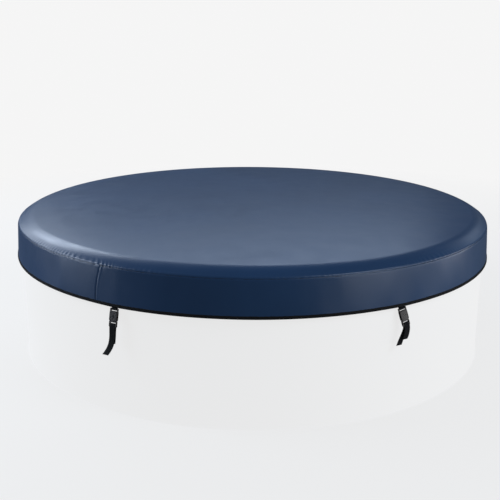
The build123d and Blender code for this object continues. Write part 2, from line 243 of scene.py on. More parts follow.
def wrap(name, profile, steps, first=180.0, sweep=360.0, thick=0.0, detail=None):
    """A flat grid of cloth wrapped round the cover's axis through (radius, height) points.

    Its UV is in metres, u round the cover and v along the profile. The profile runs so that the
    cloth's face is on its left. Detail shapes the points before the cloth gets its thickness.
    """
    rows = np.array(profile)
    run = np.concatenate([[0], np.cumsum(np.linalg.norm(np.diff(rows, axis=0), axis=1))])
    bpy.ops.object.select_all(action="DESELECT")
    bpy.ops.mesh.primitive_grid_add(
        x_subdivisions=steps, y_subdivisions=len(rows) - 1, size=1, calc_uvs=True
    )
    obj = start(name)
    co = points_of(obj)
    turn, row = co[:, 0] + 0.5, (co[:, 1] + 0.5) * (len(rows) - 1)
    places = np.arange(len(rows))
    radius, height = np.interp(row, places, rows[:, 0]), np.interp(row, places, rows[:, 1])
    co = from_polar(radius, first + sweep * turn, height)
    set_points(obj, detail(co) if detail else co)
    layer = obj.data.uv_layers.active.data
    uv = np.empty(len(layer) * 2)
    layer.foreach_get("uv", uv)
    uv = uv.reshape(-1, 2)
    v = np.interp(uv[:, 1] * (len(rows) - 1), places, run)
    u = uv[:, 0] * math.radians(sweep) * HEM_R
    layer.foreach_set("uv", np.stack([u, v], axis=-1).reshape(-1))
    with editing(obj):
        bpy.ops.mesh.remove_doubles(threshold=0.02 * MM)
    if thick:
        modifier(obj, "SOLIDIFY", thickness=thick, offset=-1.0)
    return obj


def bump_at(distance, width):
    """1 at a distance of zero, fading smoothly to nothing a few widths away."""
    return np.exp(-((distance / width) ** 2))


def away(angle, place):
    """Signed angle from a place, in degrees, within half a turn."""
    return (angle - place + 180.0) % 360.0 - 180.0


def sway(angle, seed, *waves):
    """A slow uneven wave round the cover, between -1 and 1."""
    turn = np.radians(angle)
    total = sum(np.sin(turn * n + seed * (i + 1.7)) / (i + 1) for i, n in enumerate(waves))
    return total / sum(1 / (i + 1) for i in range(len(waves)))


def gathers(angle, per_turn, seed):
    """Narrow uneven folds round the cover, between -1 and 1, with sharper valleys than crests."""
    turn = np.radians(angle)
    drift = 5.0 * np.sin(turn * 9 + seed) + 3.0 * np.sin(turn * 23 + 2 * seed)
    fold = 1 - 2 * np.abs(np.sin(turn * per_turn / 2 + drift / 2)) ** 0.7
    return fold * (0.65 + 0.35 * sway(angle, seed + 1, 31, 57, 83))


def copies(obj, count):
    """Repeat a small shape, and return each point's place in its copy and the copy's number."""
    number = np.repeat(np.arange(count), len(obj.data.vertices))
    modifier(
        obj,
        "ARRAY",
        count=count,
        use_relative_offset=False,
        use_constant_offset=True,
        constant_offset_displace=(1.0, 0, 0),
    )
    local = points_of(obj)
    local[:, 0] -= number
    return local, number


def piece(obj, body, slot, material, *nodes):
    """Finish a piece: its material, what it rides on and the CAD nodes that it stands for."""
    obj.data.materials.clear()
    obj.data.materials.append(material)
    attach(obj, body)
    if nodes:
        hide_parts(*nodes)


# ---- material helpers ----


class Nodes:
    """Short names for the nodes of one material."""

    def __init__(self, name, **shader):
        known = bpy.data.materials.get(name)
        if known:
            bpy.data.materials.remove(known)
        self.material = bpy.data.materials.new(name)
        self.material.use_nodes = True
        self.tree = self.material.node_tree
        self.shader = self.tree.nodes["Principled BSDF"]
        for key, value in shader.items():
            self.shader.inputs[key.replace("_", " ")].default_value = value
        self.place = self.tree.nodes.new("ShaderNodeTexCoord")

    def link(self, out, into):
        self.tree.links.new(out, into)

    def mapped(self, source="Object", scale=(1, 1, 1), turn=0.0):
        node = self.tree.nodes.new("ShaderNodeMapping")
        self.link(self.place.outputs[source], node.inputs["Vector"])
        node.inputs["Scale"].default_value = scale
        node.inputs["Rotation"].default_value[2] = turn
        return node.outputs["Vector"]

    def noise(self, vector, scale, detail=3.0, rough=0.5):
        node = self.tree.nodes.new("ShaderNodeTexNoise")
        self.link(vector, node.inputs["Vector"])
        node.inputs["Scale"].default_value = scale
        node.inputs["Detail"].default_value = detail
        node.inputs["Roughness"].default_value = rough
        return node.outputs["Fac"]

    def cells(self, vector, scale, feature="F1"):
        node = self.tree.nodes.new("ShaderNodeTexVoronoi")
        node.feature = feature
        self.link(vector, node.inputs["Vector"])
        node.inputs["Scale"].default_value = scale
        return node.outputs["Distance"]

    def waves(self, vector, scale, direction="X", distortion=0.0):
        node = self.tree.nodes.new("ShaderNodeTexWave")
        node.bands_direction = direction
        self.link(vector, node.inputs["Vector"])
        node.inputs["Scale"].default_value = scale
        node.inputs["Distortion"].default_value = distortion
        return node.outputs["Fac"]

    def math(self, operation, a, b=0.0):
        node = self.tree.nodes.new("ShaderNodeMath")
        node.operation = operation
        for socket, value in zip(node.inputs, (a, b)):
            if isinstance(value, (int, float)):
                socket.default_value = value
            else:
                self.link(value, socket)
        return node.outputs["Value"]

    def ramp(self, value, low, high, stops=(0.0, 1.0)):
        """From one number or colour to another as value goes between the stops."""
        node = self.tree.nodes.new("ShaderNodeMapRange")
        if isinstance(low, (int, float)):
            node.inputs["To Min"].default_value = low
            node.inputs["To Max"].default_value = high
            self.link(value, node.inputs["Value"])
            node.inputs["From Min"].default_value = stops[0]
            node.inputs["From Max"].default_value = stops[1]
            return node.outputs["Result"]
        self.tree.nodes.remove(node)
        mix = self.tree.nodes.new("ShaderNodeMix")
        mix.data_type = "RGBA"
        mix.inputs["A"].default_value = (*low, 1)
        mix.inputs["B"].default_value = (*high, 1)
        self.link(self.ramp(value, 0.0, 1.0, stops), mix.inputs["Factor"])
        return mix.outputs["Result"]

    def bump(self, height, distance, strength=1.0, under=None):
        node = self.tree.nodes.new("ShaderNodeBump")
        node.inputs["Distance"].default_value = distance
        node.inputs["Strength"].default_value = strength
        self.link(height, node.inputs["Height"])
        if under is not None:
            self.link(under, node.inputs["Normal"])
        return node.outputs["Normal"]

    def set(self, name, value):
        self.link(value, self.shader.inputs[name])


def shade(colour, factor):
    return tuple(min(1.0, c * factor) for c in colour)


def laminate():
    """Coated fabric: a fine leather grain, a faint weave showing through, and uneven gloss."""
    known = bpy.data.materials.get("navy_laminate_finish")
    if known:
        return known
    colour = tuple(settings().laminate)
    n = Nodes("navy_laminate_finish", Roughness=0.32, Specular_IOR_Level=0.5)
    here = n.mapped()
    cloud = n.noise(here, 3.2, 3.0)
    fine = n.noise(here, 260.0, 2.0)
    n.set("Base Color", n.ramp(cloud, shade(colour, 0.93), shade(colour, 1.07), (0.3, 0.7)))
    n.set("Roughness", n.ramp(n.noise(here, 11.0, 4.0), 0.29, 0.34, (0.3, 0.7)))
    grain = n.bump(n.cells(here, 900.0), 0.08 * MM, 0.22)
    grain = n.bump(fine, 0.15 * MM, 0.2, grain)
    n.set("Normal", n.bump(n.noise(here, 14.0, 2.0), 1.2 * MM, 0.12, grain))
    return n.material


def tape(name, colour, rib=1.1 * MM, row=0.9 * MM, roughness=0.8, sheen=0.05):
    """Woven tape: ribs across rows, read from the piece's own UV in metres."""
    known = bpy.data.materials.get(name)
    if known:
        return known
    n = Nodes(name, Roughness=roughness, Sheen_Weight=sheen, Specular_IOR_Level=0.2)
    n.shader.inputs["Sheen Roughness"].default_value = 0.4
    flat = n.mapped("UV")
    ribs = n.waves(flat, 0.5 / rib, "X")
    rows = n.waves(flat, 0.5 / row, "Y")
    weave = n.math("MULTIPLY", ribs, rows)
    fuzz = n.noise(n.mapped(), 420.0, 3.0)
    tint = n.math("ADD", n.math("MULTIPLY", weave, 0.7), n.math("MULTIPLY", fuzz, 0.3))
    n.set("Base Color", n.ramp(tint, shade(colour, 0.55), shade(colour, 1.8)))
    normal = n.bump(weave, 0.35 * MM, 0.8)
    n.set("Normal", n.bump(fuzz, 0.1 * MM, 0.4, normal))
    return n.material


def foil():
    """Foil-faced liner: small crinkles and a faint scrim grid."""
    known = bpy.data.materials.get("silver_liner_finish")
    if known:
        return known
    colour = tuple(settings().foil)
    n = Nodes("silver_liner_finish", Roughness=0.42, Metallic=0.75)
    here = n.mapped()
    crinkle = n.cells(here, 55.0, "DISTANCE_TO_EDGE")
    scrim = n.math("MAXIMUM", n.waves(here, 55.0, "X"), n.waves(here, 55.0, "Y"))
    cloud = n.noise(here, 18.0, 4.0)
    n.set("Base Color", n.ramp(cloud, shade(colour, 0.88), shade(colour, 1.08), (0.3, 0.7)))
    n.set("Roughness", n.ramp(n.noise(here, 40.0, 4.0), 0.34, 0.5, (0.3, 0.7)))
    normal = n.bump(crinkle, 0.8 * MM, 0.25)
    n.set("Normal", n.bump(scrim, 0.1 * MM, 0.3, normal))
    return n.material


def moulded(name, colour, roughness, grain=0.05 * MM, speck=0.2):
    """Injection-moulded plastic with a fine spark finish, scuffed a little paler in places."""
    known = bpy.data.materials.get(name)
    if known:
        return known
    n = Nodes(name, Roughness=roughness, Specular_IOR_Level=0.5)
    here = n.mapped()
    scuff = n.noise(here, 90.0, 5.0, 0.65)
    dark, pale = shade(colour, 1 - speck), shade(colour, 1 + 2 * speck)
    n.set("Base Color", n.ramp(scuff, dark, pale, (0.35, 0.8)))
    n.set("Roughness", n.ramp(scuff, roughness * 0.85, roughness * 1.25, (0.3, 0.75)))
    n.set("Normal", n.bump(n.noise(here, 2500.0, 2.0), grain, 0.5))
    return n.material


def plated(name, colour, roughness):
    """Nickel-plated zinc with fine handling marks."""
    known = bpy.data.materials.get(name)
    if known:
        return known
    n = Nodes(name, Roughness=roughness, Metallic=1.0)
    here = n.mapped(scale=(1, 1, 6))
    marks = n.noise(here, 700.0, 4.0)
    n.set("Base Color", n.ramp(marks, shade(colour, 0.85), shade(colour, 1.1), (0.3, 0.7)))
    n.set("Roughness", n.ramp(marks, roughness * 0.8, roughness * 1.4, (0.3, 0.7)))
    n.set("Normal", n.bump(marks, 0.03 * MM, 0.4))
    return n.material


def film(name, colour):
    """Translucent-looking vinyl sheet of the insert."""
    known = bpy.data.materials.get(name)
    if known:
        return known
    n = Nodes(name, Roughness=0.3, Specular_IOR_Level=0.5)
    here = n.mapped()
    cloud = n.noise(here, 8.0, 3.0)
    n.set("Base Color", n.ramp(cloud, shade(colour, 0.9), shade(colour, 1.1), (0.3, 0.7)))
    n.set("Normal", n.bump(n.noise(here, 120.0, 3.0), 0.2 * MM, 0.3))
    return n.material


def black_tape():
    return tape("binding_finish", tuple(settings().webbing))


def black_webbing():
    return tape("webbing_finish", tuple(settings().webbing), 1.5 * MM, 1.3 * MM)


# ---- cover shape ----


def crown_arcs():
    """Radius and centre height of the crown, and radius and centre of the shoulder below it."""
    rise = CROWN_Z - SHOULDER_Z
    dome = (SHOULDER_R**2 + rise**2) / (2 * rise)
    dome_z = CROWN_Z - dome
    normal = Vector((SHOULDER_R, SHOULDER_Z - dome_z)) / dome
    drop = Vector((SEAM_R - SHOULDER_R, SEAM_Z - SHOULDER_Z))
    shoulder = -drop.length_squared / (2 * drop.dot(normal))
    return dome, dome_z, shoulder, Vector((SHOULDER_R, SHOULDER_Z)) - normal * shoulder


def crown_profile():
    """Points from the seam up over the shoulder to the middle, closer together near the seam."""
    dome, dome_z, shoulder, centre = crown_arcs()
    first = math.atan2(SEAM_Z - centre.y, SEAM_R - centre.x)
    last = math.atan2(SHOULDER_Z - centre.y, SHOULDER_R - centre.x)
    points = []
    for t in np.linspace(0, 1, 19) ** 1.15:
        a = first + (last - first) * t
        points.append((centre.x + shoulder * math.cos(a), centre.y + shoulder * math.sin(a)))
    for t in np.linspace(1, 0, 11)[1:]:
        r = SHOULDER_R * t
        points.append((r, dome_z + math.sqrt(dome**2 - r * r)))
    return points


def skirt_r(z):
    """Outside radius of the skirt at height z."""
    hem = HEM_R - HEM_WALL
    return hem + (SEAM_R - hem) * z / SEAM_Z


def seam_lean(angle, z):
    """How far the upright seams lean sideways as they near the top, in degrees."""
    rise = np.clip(z / SEAM_Z, 0, 1) ** 2.2
    return sum(1.4 * rise * bump_at(away(angle, place), 6.0) for place in SKIRT_SEAMS)


def hem_drop(angle):
    """How far the hem is pulled down near each strap."""
    reach = 4.2
    pull = sum(np.exp(-np.abs(away(angle, place)) / reach) for place in STRAP_ANGLES)
    return settings().hem_dip * pull


def hem_wave(angle):
    """The hem's slow wander in and out."""
    return 1.1 * MM * sway(angle, 2.0, 5, 11, 17)


def shape_skirt(co):
    """Give plain skirt points the cloth's unevenness, from the hem to the seam."""
    r, a, z = polar_of(co)
    low = np.clip(1 - z / SEAM_Z, 0, 1)
    high = np.clip(z / SEAM_Z, 0, 1)
    belly = 4 * low * high
    r = r + hem_wave(a) * low + 0.9 * MM * sway(a, 4.0, 17, 29, 41) * belly
    r = r + 0.8 * MM * sway(a, 7.0, 47, 71, 97) * belly * (0.4 + 0.6 * sway(a, 1.0, 3, 5) ** 2)
    under_seam = bump_at(SEAM_Z - z, 16 * MM)
    r = r - 3.0 * MM * bump_at(SEAM_Z - z, 2.6 * MM)
    r = r + 0.35 * settings().pucker * gathers(a, 330, 3.0) * under_seam * pucker_reach(a)
    for place in SKIRT_SEAMS:
        off = away(a, place) * math.pi / 180 * HEM_R
        r = r - 1.3 * MM * bump_at(off, 1.6 * MM) + 0.7 * MM * bump_at(off - 5 * MM, 3.5 * MM)
        tug = np.clip((z - 0.7 * SEAM_Z) / (0.3 * SEAM_Z), 0, 1)
        r = r + 0.9 * MM * np.sin(off / (7 * MM) + z / (9 * MM)) * bump_at(off, 26 * MM) * tug
    z = z - hem_drop(a) * low**2
    return from_polar(r, a + seam_lean(a, z), z)


def pucker_reach(angle):
    """How strongly the top seam is gathered round the cover."""
    strong = bump_at(away(angle, -52.0), 20.0) + 0.55 * bump_at(away(angle, 42.0), 16.0)
    behind = 0.6 * bump_at(away(angle, 160.0), 25.0)
    return 0.25 + 0.2 * sway(angle, 5.0, 4, 7, 13) + strong + behind


def shape_crown(co):
    """Give plain crown points the seam's gathers, the seam's lip and a slight unevenness."""
    r, a, z = polar_of(co)
    near = np.hypot(SEAM_R - r, z - SEAM_Z)
    normal_r = np.clip((r - 0.93) / (SEAM_R - 0.93), 0, 1)
    fold = settings().pucker * gathers(a, 330, 3.0) * pucker_reach(a)
    fold = fold * bump_at(near - 3 * MM, 15 * MM)
    lip = 0.8 * MM * bump_at(near - 6 * MM, 4 * MM) - 2.0 * MM * bump_at(near, 2.4 * MM)
    r = r + (fold + lip) * normal_r
    z = z + (fold + lip) * (1 - 0.55 * normal_r) * (normal_r > 0)
    z = z + 1.0 * MM * sway(a, 1.0, 2, 3, 5) * bump_at(r - 0.55, 0.3)
    lean = seam_lean(a, np.minimum(z, SEAM_Z)) * bump_at(near, 30 * MM)
    return from_polar(r, a + lean, z)


class SPA_OT_crown(Operator):
    """Model the crowned top panel, gathered along its seam"""

    bl_idname = "spa_cover.crown"
    bl_label = "Crown"

    def execute(self, context):
        steps = settings().segments
        obj = wrap("crown_cloth", crown_profile(), steps, thick=SKIN, detail=shape_crown)
        piece(obj, "cover", "navy_laminate", laminate(), "top_panel")
        smooth(obj, 60)
        return {"FINISHED"}


class SPA_OT_skirt(Operator):
    """Model the two halves of the skirt with their upright seams"""

    bl_idname = "spa_cover.skirt"
    bl_label = "Skirt"

    def execute(self, context):
        low, high = 3 * MM, SEAM_Z - 0.8 * MM
        rise = 1 - (1 - np.linspace(0, 1, 27)) ** 1.7
        profile = [(skirt_r(z), z) for z in low + (high - low) * rise]
        names = ("skirt_panel_front", "skirt_panel_rear")
        for name, first in zip(names, SKIRT_SEAMS):
            steps = settings().segments // 2
            obj = wrap(name + "_cloth", profile, steps, first, 180, thick=SKIN, detail=shape_skirt)
            piece(obj, "cover", "navy_laminate", laminate(), name)
            smooth(obj, 50)
        return {"FINISHED"}


class SPA_OT_hem(Operator):
    """Model the hem binding with its row of stitches"""

    bl_idname = "spa_cover.hem"
    bl_label = "Hem Binding"

    def execute(self, context):
        wall, inner_r = HEM_WALL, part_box("hem_binding")[1][0] - 9 * MM
        top = HEM_TOP
        profile = [
            (inner_r, top - 1 * MM),
            (inner_r, top * 0.6),
            (inner_r, top * 0.3),
            (inner_r + 0.1 * MM, 1.5 * MM),
            (inner_r + 1.2 * MM, 0.2 * MM),
            (HEM_R - 3 * MM, 0),
            (HEM_R - 1.2 * MM, 0.2 * MM),
            (HEM_R - 0.1 * MM, 1.4 * MM),
            (skirt_r(top * 0.3) + wall * 1.05, top * 0.3),
            (skirt_r(top * 0.5) + wall * 0.95, top * 0.5),
            (skirt_r(top * 0.75) + wall * 0.8, top * 0.75),
            (skirt_r(top) + wall * 0.75, top - 1 * MM),
            (skirt_r(top) + wall * 0.55, top - 0.2 * MM),
            (skirt_r(top) + 0.1 * MM, top),
            (skirt_r(top) - 2 * MM, top),
            (inner_r + 0.4 * MM, top),
            (inner_r, top - 1 * MM),
        ]
        obj = wrap("hem_binding_tape", profile[::-1], settings().segments)
        r, a, z = polar_of(points_of(obj))
        outer = np.clip((r - (HEM_R - 6 * MM)) / (3 * MM), 0, 1)
        r = r + (hem_wave(a) + 0.25 * MM * gathers(a, 620, 8.0) * (z > top * 0.4)) * outer
        z = z - hem_drop(a) * np.clip(1 - z / SEAM_Z, 0, 1) ** 2
        z = z + 0.3 * MM * sway(a, 6.0, 83, 131, 211) * (z > top * 0.4)
        set_points(obj, from_polar(r, a, z))
        piece(obj, "cover", "black_binding", black_tape(), "hem_binding")
        smooth(obj, 50)
        self.stitches(top - 3.2 * MM, 4.2 * MM)
        return {"FINISHED"}

    def stitches(self, height, pitch):
        """One row of thread dashes on the outside of the binding."""
        length, thick = 3.0 * MM, 0.55 * MM
        count = int(2 * math.pi * HEM_R / pitch)
        bpy.ops.object.select_all(action="DESELECT")
        bpy.ops.mesh.primitive_cube_add(size=1, scale=(length, thick, thick))
        obj = start("hem_stitches")
        with editing(obj):
            bpy.ops.mesh.bevel(offset=0.2 * MM, segments=1)
        local, number = copies(obj, count)
        a = number * 360.0 / count
        z = height - hem_drop(a)
        r = skirt_r(height) + HEM_WALL * 0.86 + hem_wave(a)
        turn = np.degrees(local[:, 0] / HEM_R)
        set_points(obj, from_polar(r - local[:, 1], a + turn, z + local[:, 2]))
        piece(obj, "cover", "black_webbing", black_webbing())


class SPA_OT_liner(Operator):
    """Model the foil-faced underside with its zip slot and valve hole"""

    bl_idname = "spa_cover.liner"
    bl_label = "Liner"

    def execute(self, context):
        self.band()
        self.centre()
        return {"FINISHED"}

    def rippled(self, middle, width):
        """Shape points into shallow ripples round one radius, and leave the rest flat."""

        def shape(co):
            r, a, z = polar_of(co)
            ripple = (1 + sway(a + 40 * r, 3.0, 7, 13, 29)) * bump_at(r - middle, width)
            return from_polar(r, a, z - 0.5 * MM * ripple)

        return shape

    def band(self):
        inner = CENTRE_R + 1 * MM
        profile = [(r, LINER_Z) for r in np.linspace(inner, LINER_R, 15)]
        detail = self.rippled(0.87, 0.06)
        obj = wrap("liner_rim_band_cloth", profile, 360, thick=SKIN, detail=detail)
        piece(obj, "cover", "silver_liner", foil(), "liner_rim_band")
        smooth(obj, 40)

    def centre(self):
        slot = 4 * MM
        inside = np.linspace(0, ZIP_R * 0.97, 17)
        radii = [*inside, ZIP_R - slot, ZIP_R + slot, 0.72, 0.74, CENTRE_R]
        profile = [(r, LINER_Z) for r in radii]
        obj = wrap("liner_centre_cloth", profile, 360, detail=self.rippled(0.30, 0.16))
        with editing(obj, "DESELECT"):
            bpy.ops.mesh.select_mode(type="FACE")
            bpy.ops.object.mode_set(mode="OBJECT")
            for face in obj.data.polygons:
                r = math.hypot(face.center.x, face.center.y)
                a = math.degrees(math.atan2(face.center.x, -face.center.y)) % 360
                face.select = abs(r - ZIP_R) < slot and ZIP_ARC[0] < a < ZIP_ARC[1]
            bpy.ops.object.mode_set(mode="EDIT")
            bpy.ops.mesh.delete(type="FACE")
        modifier(obj, "SOLIDIFY", thickness=SKIN, offset=-1.0)
        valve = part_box("valve_diaphragm")
        middle = [(a + b) / 2 for a, b in zip(*valve)]
        bpy.ops.object.select_all(action="DESELECT")
        bpy.ops.mesh.primitive_cylinder_add(
            vertices=96, radius=30 * MM, depth=20 * MM, location=middle
        )
        cutter = start("valve_hole_cutter")
        modifier(obj, "BOOLEAN", operation="DIFFERENCE", object=cutter, solver="EXACT")
        bpy.data.objects.remove(cutter)
        piece(obj, "cover", "silver_liner", foil(), "liner_centre_panel")
        smooth(obj, 40)


def strap_axes(number):
    """Bar's place and the buckle's own axes: along the bar, up the strap and outwards."""
    swing = JOINTS[f"buckle_swing_{number}"]
    along = -Vector(swing["axis"]).normalized()
    outward = Vector(JOINTS[f"lock_turn_{number}"]["axis"]).normalized()
    return Vector(swing["pos_m"]), along, outward.cross(along), outward


def ribbon(name, route, across, width, thick):
    """Flat webbing along a route of points, with across(t) giving its width's direction."""
    steps, strands = 6 * (len(route) - 1), 6
    bpy.ops.object.select_all(action="DESELECT")
    bpy.ops.curve.primitive_nurbs_path_add()
    path = bpy.context.active_object
    spline = path.data.splines[0]
    spline.points.add(len(route) - len(spline.points))
    for point, place in zip(spline.points, route):
        point.co = (*place, 1)
    spline.order_u = 4
    spline.use_endpoint_u = True
    spline.resolution_u = 12
    line = bpy.data.meshes.new_from_object(path)
    dense = np.array([v.co[:] for v in line.vertices])
    bpy.data.objects.remove(path)
    bpy.data.meshes.remove(line)
    run = np.concatenate([[0], np.cumsum(np.linalg.norm(np.diff(dense, axis=0), axis=1))])
    length = run[-1]
    bpy.ops.mesh.primitive_grid_add(
        x_subdivisions=steps, y_subdivisions=strands, size=1, calc_uvs=True
    )
    obj = start(name)
    co = points_of(obj)
    t, s = co[:, 0] + 0.5, co[:, 1]
    centre = np.stack([np.interp(t * length, run, dense[:, i]) for i in range(3)], axis=-1)
    side = np.array([across(float(v)) for v in t])
    set_points(obj, centre + side * (s * width)[:, None])
    uv = obj.data.uv_layers.active.data
    for loop in uv:
        loop.uv = (loop.uv[1] * width, loop.uv[0] * length)
    modifier(obj, "SOLIDIFY", thickness=thick, offset=0.0)
    corner = math.radians(50)
    modifier(obj, "BEVEL", width=0.35 * MM, segments=2, limit_method="ANGLE", angle_limit=corner)
    smooth(obj, 50)
    return obj, length


class SPA_OT_straps(Operator):
    """Model the webbing: the loops sewn behind the hem and the tails below the buckles"""

    bl_idname = "spa_cover.straps"
    bl_label = "Straps"

    def execute(self, context):
        for number in STRAPS:
            self.loop(number)
            self.tail(number)
        return {"FINISHED"}

    def loop(self, number):
        """Two layers behind the binding that part and go round the buckle's bar."""
        bar, along, up, outward = strap_axes(number)
        radial = Vector((bar.x, bar.y, 0)).normalized()
        flat = Vector((-radial.y, radial.x, 0))
        if flat.dot(along) < 0:
            flat = -flat
        bend = 3.55 * MM
        sewn = radial * (HEM_R - 10.6 * MM)
        lift = Vector((0, 0, 1))
        apart = radial * 0.75 * MM
        front_top, back_top = sewn + apart + lift * 14 * MM, sewn - apart + lift * 14 * MM
        front_low, back_low = sewn + apart + lift * MM, sewn - apart + lift * MM
        turn = [
            bar + (outward * math.cos(a) + up * math.sin(a)) * bend
            for a in map(math.radians, (75, 35, -5, -45, -90, -135, -175, -215, -245))
        ]
        route = [front_top, front_low + lift * 6 * MM, front_low - lift * 3 * MM, *turn]
        route += [back_low - lift * 2 * MM, back_low + lift * 6 * MM, back_top]

        def across(t):
            hold = 1 - abs(2 * t - 1)
            return flat.lerp(along, min(1.0, hold * 2)).normalized()

        obj, length = ribbon(f"hanger_loop_{number}_webbing", route, across, WEBBING_W, WEBBING_T)
        piece(obj, "cover", "black_webbing", black_webbing(), f"hanger_loop_{number}")

    def tail(self, number):
        """A rear leg to the tub and a free front end, round the clip's grip bar."""
        bar, along, up, outward = strap_axes(number)
        down = Vector((0, 0, -1))
        grip = bar - up * GRIP_DROP
        knee = bar - up * KNEE_DROP
        bend = 3.0 * MM
        rear, skew, free, curl, drift = TAIL_SHAPES[number - 1]
        flat = Vector((along.x, along.y, 0)).normalized()
        home = down.lerp(-up, 0.25).normalized()
        rear_knee = knee - outward * LEG_GAP
        front_knee = knee + outward * LEG_GAP
        route = [
            rear_knee + home * rear - outward * 0.10 * rear + flat * skew,
            rear_knee + home * rear * 0.66 - outward * 0.09 * rear + flat * skew * 0.66,
            rear_knee + home * rear * 0.33 - outward * 0.04 * rear + flat * skew * 0.33,
            rear_knee,
            grip - outward * LEG_GAP - up * 5 * MM,
            grip - outward * bend,
            grip - outward * bend * 0.8 + up * bend * 0.95,
            grip + outward * bend * 0.8 + up * bend * 0.95,
            grip + outward * bend,
            grip + outward * LEG_GAP - up * 5 * MM,
            front_knee,
            front_knee + home * free * 0.3 - outward * 1 * MM,
            front_knee + home * free * 0.6 + flat * drift * 0.3 - outward * 1 * MM,
            front_knee + home * free * 0.82 + outward * curl * 0.35 + flat * drift * 0.6,
            front_knee + home * free + outward * curl + flat * drift,
        ]

        def across(t):
            slack = max(0.0, abs(t - 0.5) * 2 - 0.45) / 0.55
            return along.lerp(flat, min(1.0, slack)).normalized()

        obj, length = ribbon(f"strap_tail_{number}_webbing", route, across, WEBBING_W, WEBBING_T)
        piece(obj, f"clip_{number}", "black_webbing", black_webbing(), f"strap_tail_{number}")


class SPA_OT_zip(Operator):
    """Model the zip's coil teeth and dress its tapes, stops and slider"""

    bl_idname = "spa_cover.zip"
    bl_label = "Zip"

    def execute(self, context):
        self.coil()
        tape_finish = moulded("zip_tape_finish", tuple(settings().webbing), 0.8, 0.1 * MM)
        for name in ("zip_tapes", "liner_seam_tape", "top_seam_tape", "skirt_seam_tapes"):
            dress(name, tape_finish)
        metal = plated("zip_metal_finish", (0.62, 0.62, 0.64), 0.28)
        for name in ("zip_slider", "zip_pull", "zip_end_stops"):
            dress(name, metal)
        return {"FINISHED"}

    def coil(self):
        """Interlocked coil teeth along the arc: one bevelled tooth, repeated from alternate sides.
        """
        pitch = 2.6 * MM
        low, high = ZIP_BOX[0][2], ZIP_BOX[1][2]
        arc = math.radians(ZIP_ARC[1] - ZIP_ARC[0] - 2 * ZIP_INSET)
        count = int(arc * ZIP_R / pitch)
        bpy.ops.object.select_all(action="DESELECT")
        bpy.ops.mesh.primitive_cube_add(size=1, scale=(1.4 * MM, 2.9 * MM, 2.2 * MM))
        obj = start("zip_coil_teeth")
        with editing(obj):
            bpy.ops.mesh.bevel(offset=0.45 * MM, segments=2)
        local, number = copies(obj, count)
        side = np.where(number % 2 == 0, 0.3 * MM, -0.3 * MM)
        a = ZIP_ARC[0] + ZIP_INSET + number * math.degrees(pitch / ZIP_R)
        turn = np.degrees(local[:, 0] / ZIP_R)
        middle = (low + high) / 2
        set_points(obj, from_polar(ZIP_R + side + local[:, 1], a + turn, middle + local[:, 2]))
        nylon = moulded("zip_nylon_finish", (0.014, 0.014, 0.016), 0.4)
        piece(obj, "cover", "zip_nylon", nylon, "zip_teeth")
        smooth(obj, 40)


def dress(name, material):
    """Give a CAD node its finish."""
    mesh = frame["nodes"][name].data
    mesh.materials.clear()
    mesh.materials.append(material)


class SPA_OT_hardware(Operator):
    """Give the buckles, locks, valve and insert their finishes"""

    bl_idname = "spa_cover.hardware"
    bl_label = "Hardware"

    def execute(self, context):
        plastic = moulded("buckle_finish", tuple(settings().plastic), 0.42)
        lock = moulded("lock_finish", (0.006, 0.006, 0.007), 0.25, 0.01 * MM)
        for number in STRAPS:
            dress(f"buckle_socket_{number}", plastic)
            dress(f"buckle_clip_{number}", plastic)
            dress(f"lock_barrel_{number}", lock)
            for kind in ("buckle_socket", "buckle_clip", "lock_barrel"):
                smooth(frame["nodes"][f"{kind}_{number}"], 35)
        vinyl = film("valve_finish", (0.20, 0.22, 0.26))
        sheet = film("insert_finish", (0.22, 0.24, 0.28))
        for name in ("valve_body", "valve_cap"):
            dress(name, vinyl)
            smooth(frame["nodes"][name], 35)
        dress("valve_diaphragm", moulded("valve_rubber_finish", (0.05, 0.05, 0.05), 0.6))
        for name in frame["nodes"]:
            if name.startswith("bladder_"):
                dress(name, sheet)
        return {"FINISHED"}


# ---- stage ----


def softbox(name, place, target, size, power, tint=(1, 1, 1)):
    """A rectangular studio light that faces a target."""
    data = bpy.data.lights.new(name, "AREA")
    data.shape = "RECTANGLE"
    data.size, data.size_y = size
    data.energy = power
    data.color = tint
    obj = bpy.data.objects.new(name, data)
    bpy.context.scene.collection.objects.link(obj)
    obj.location = place
    obj.rotation_euler = (Vector(target) - Vector(place)).to_track_quat("-Z", "Y").to_euler()
    return obj


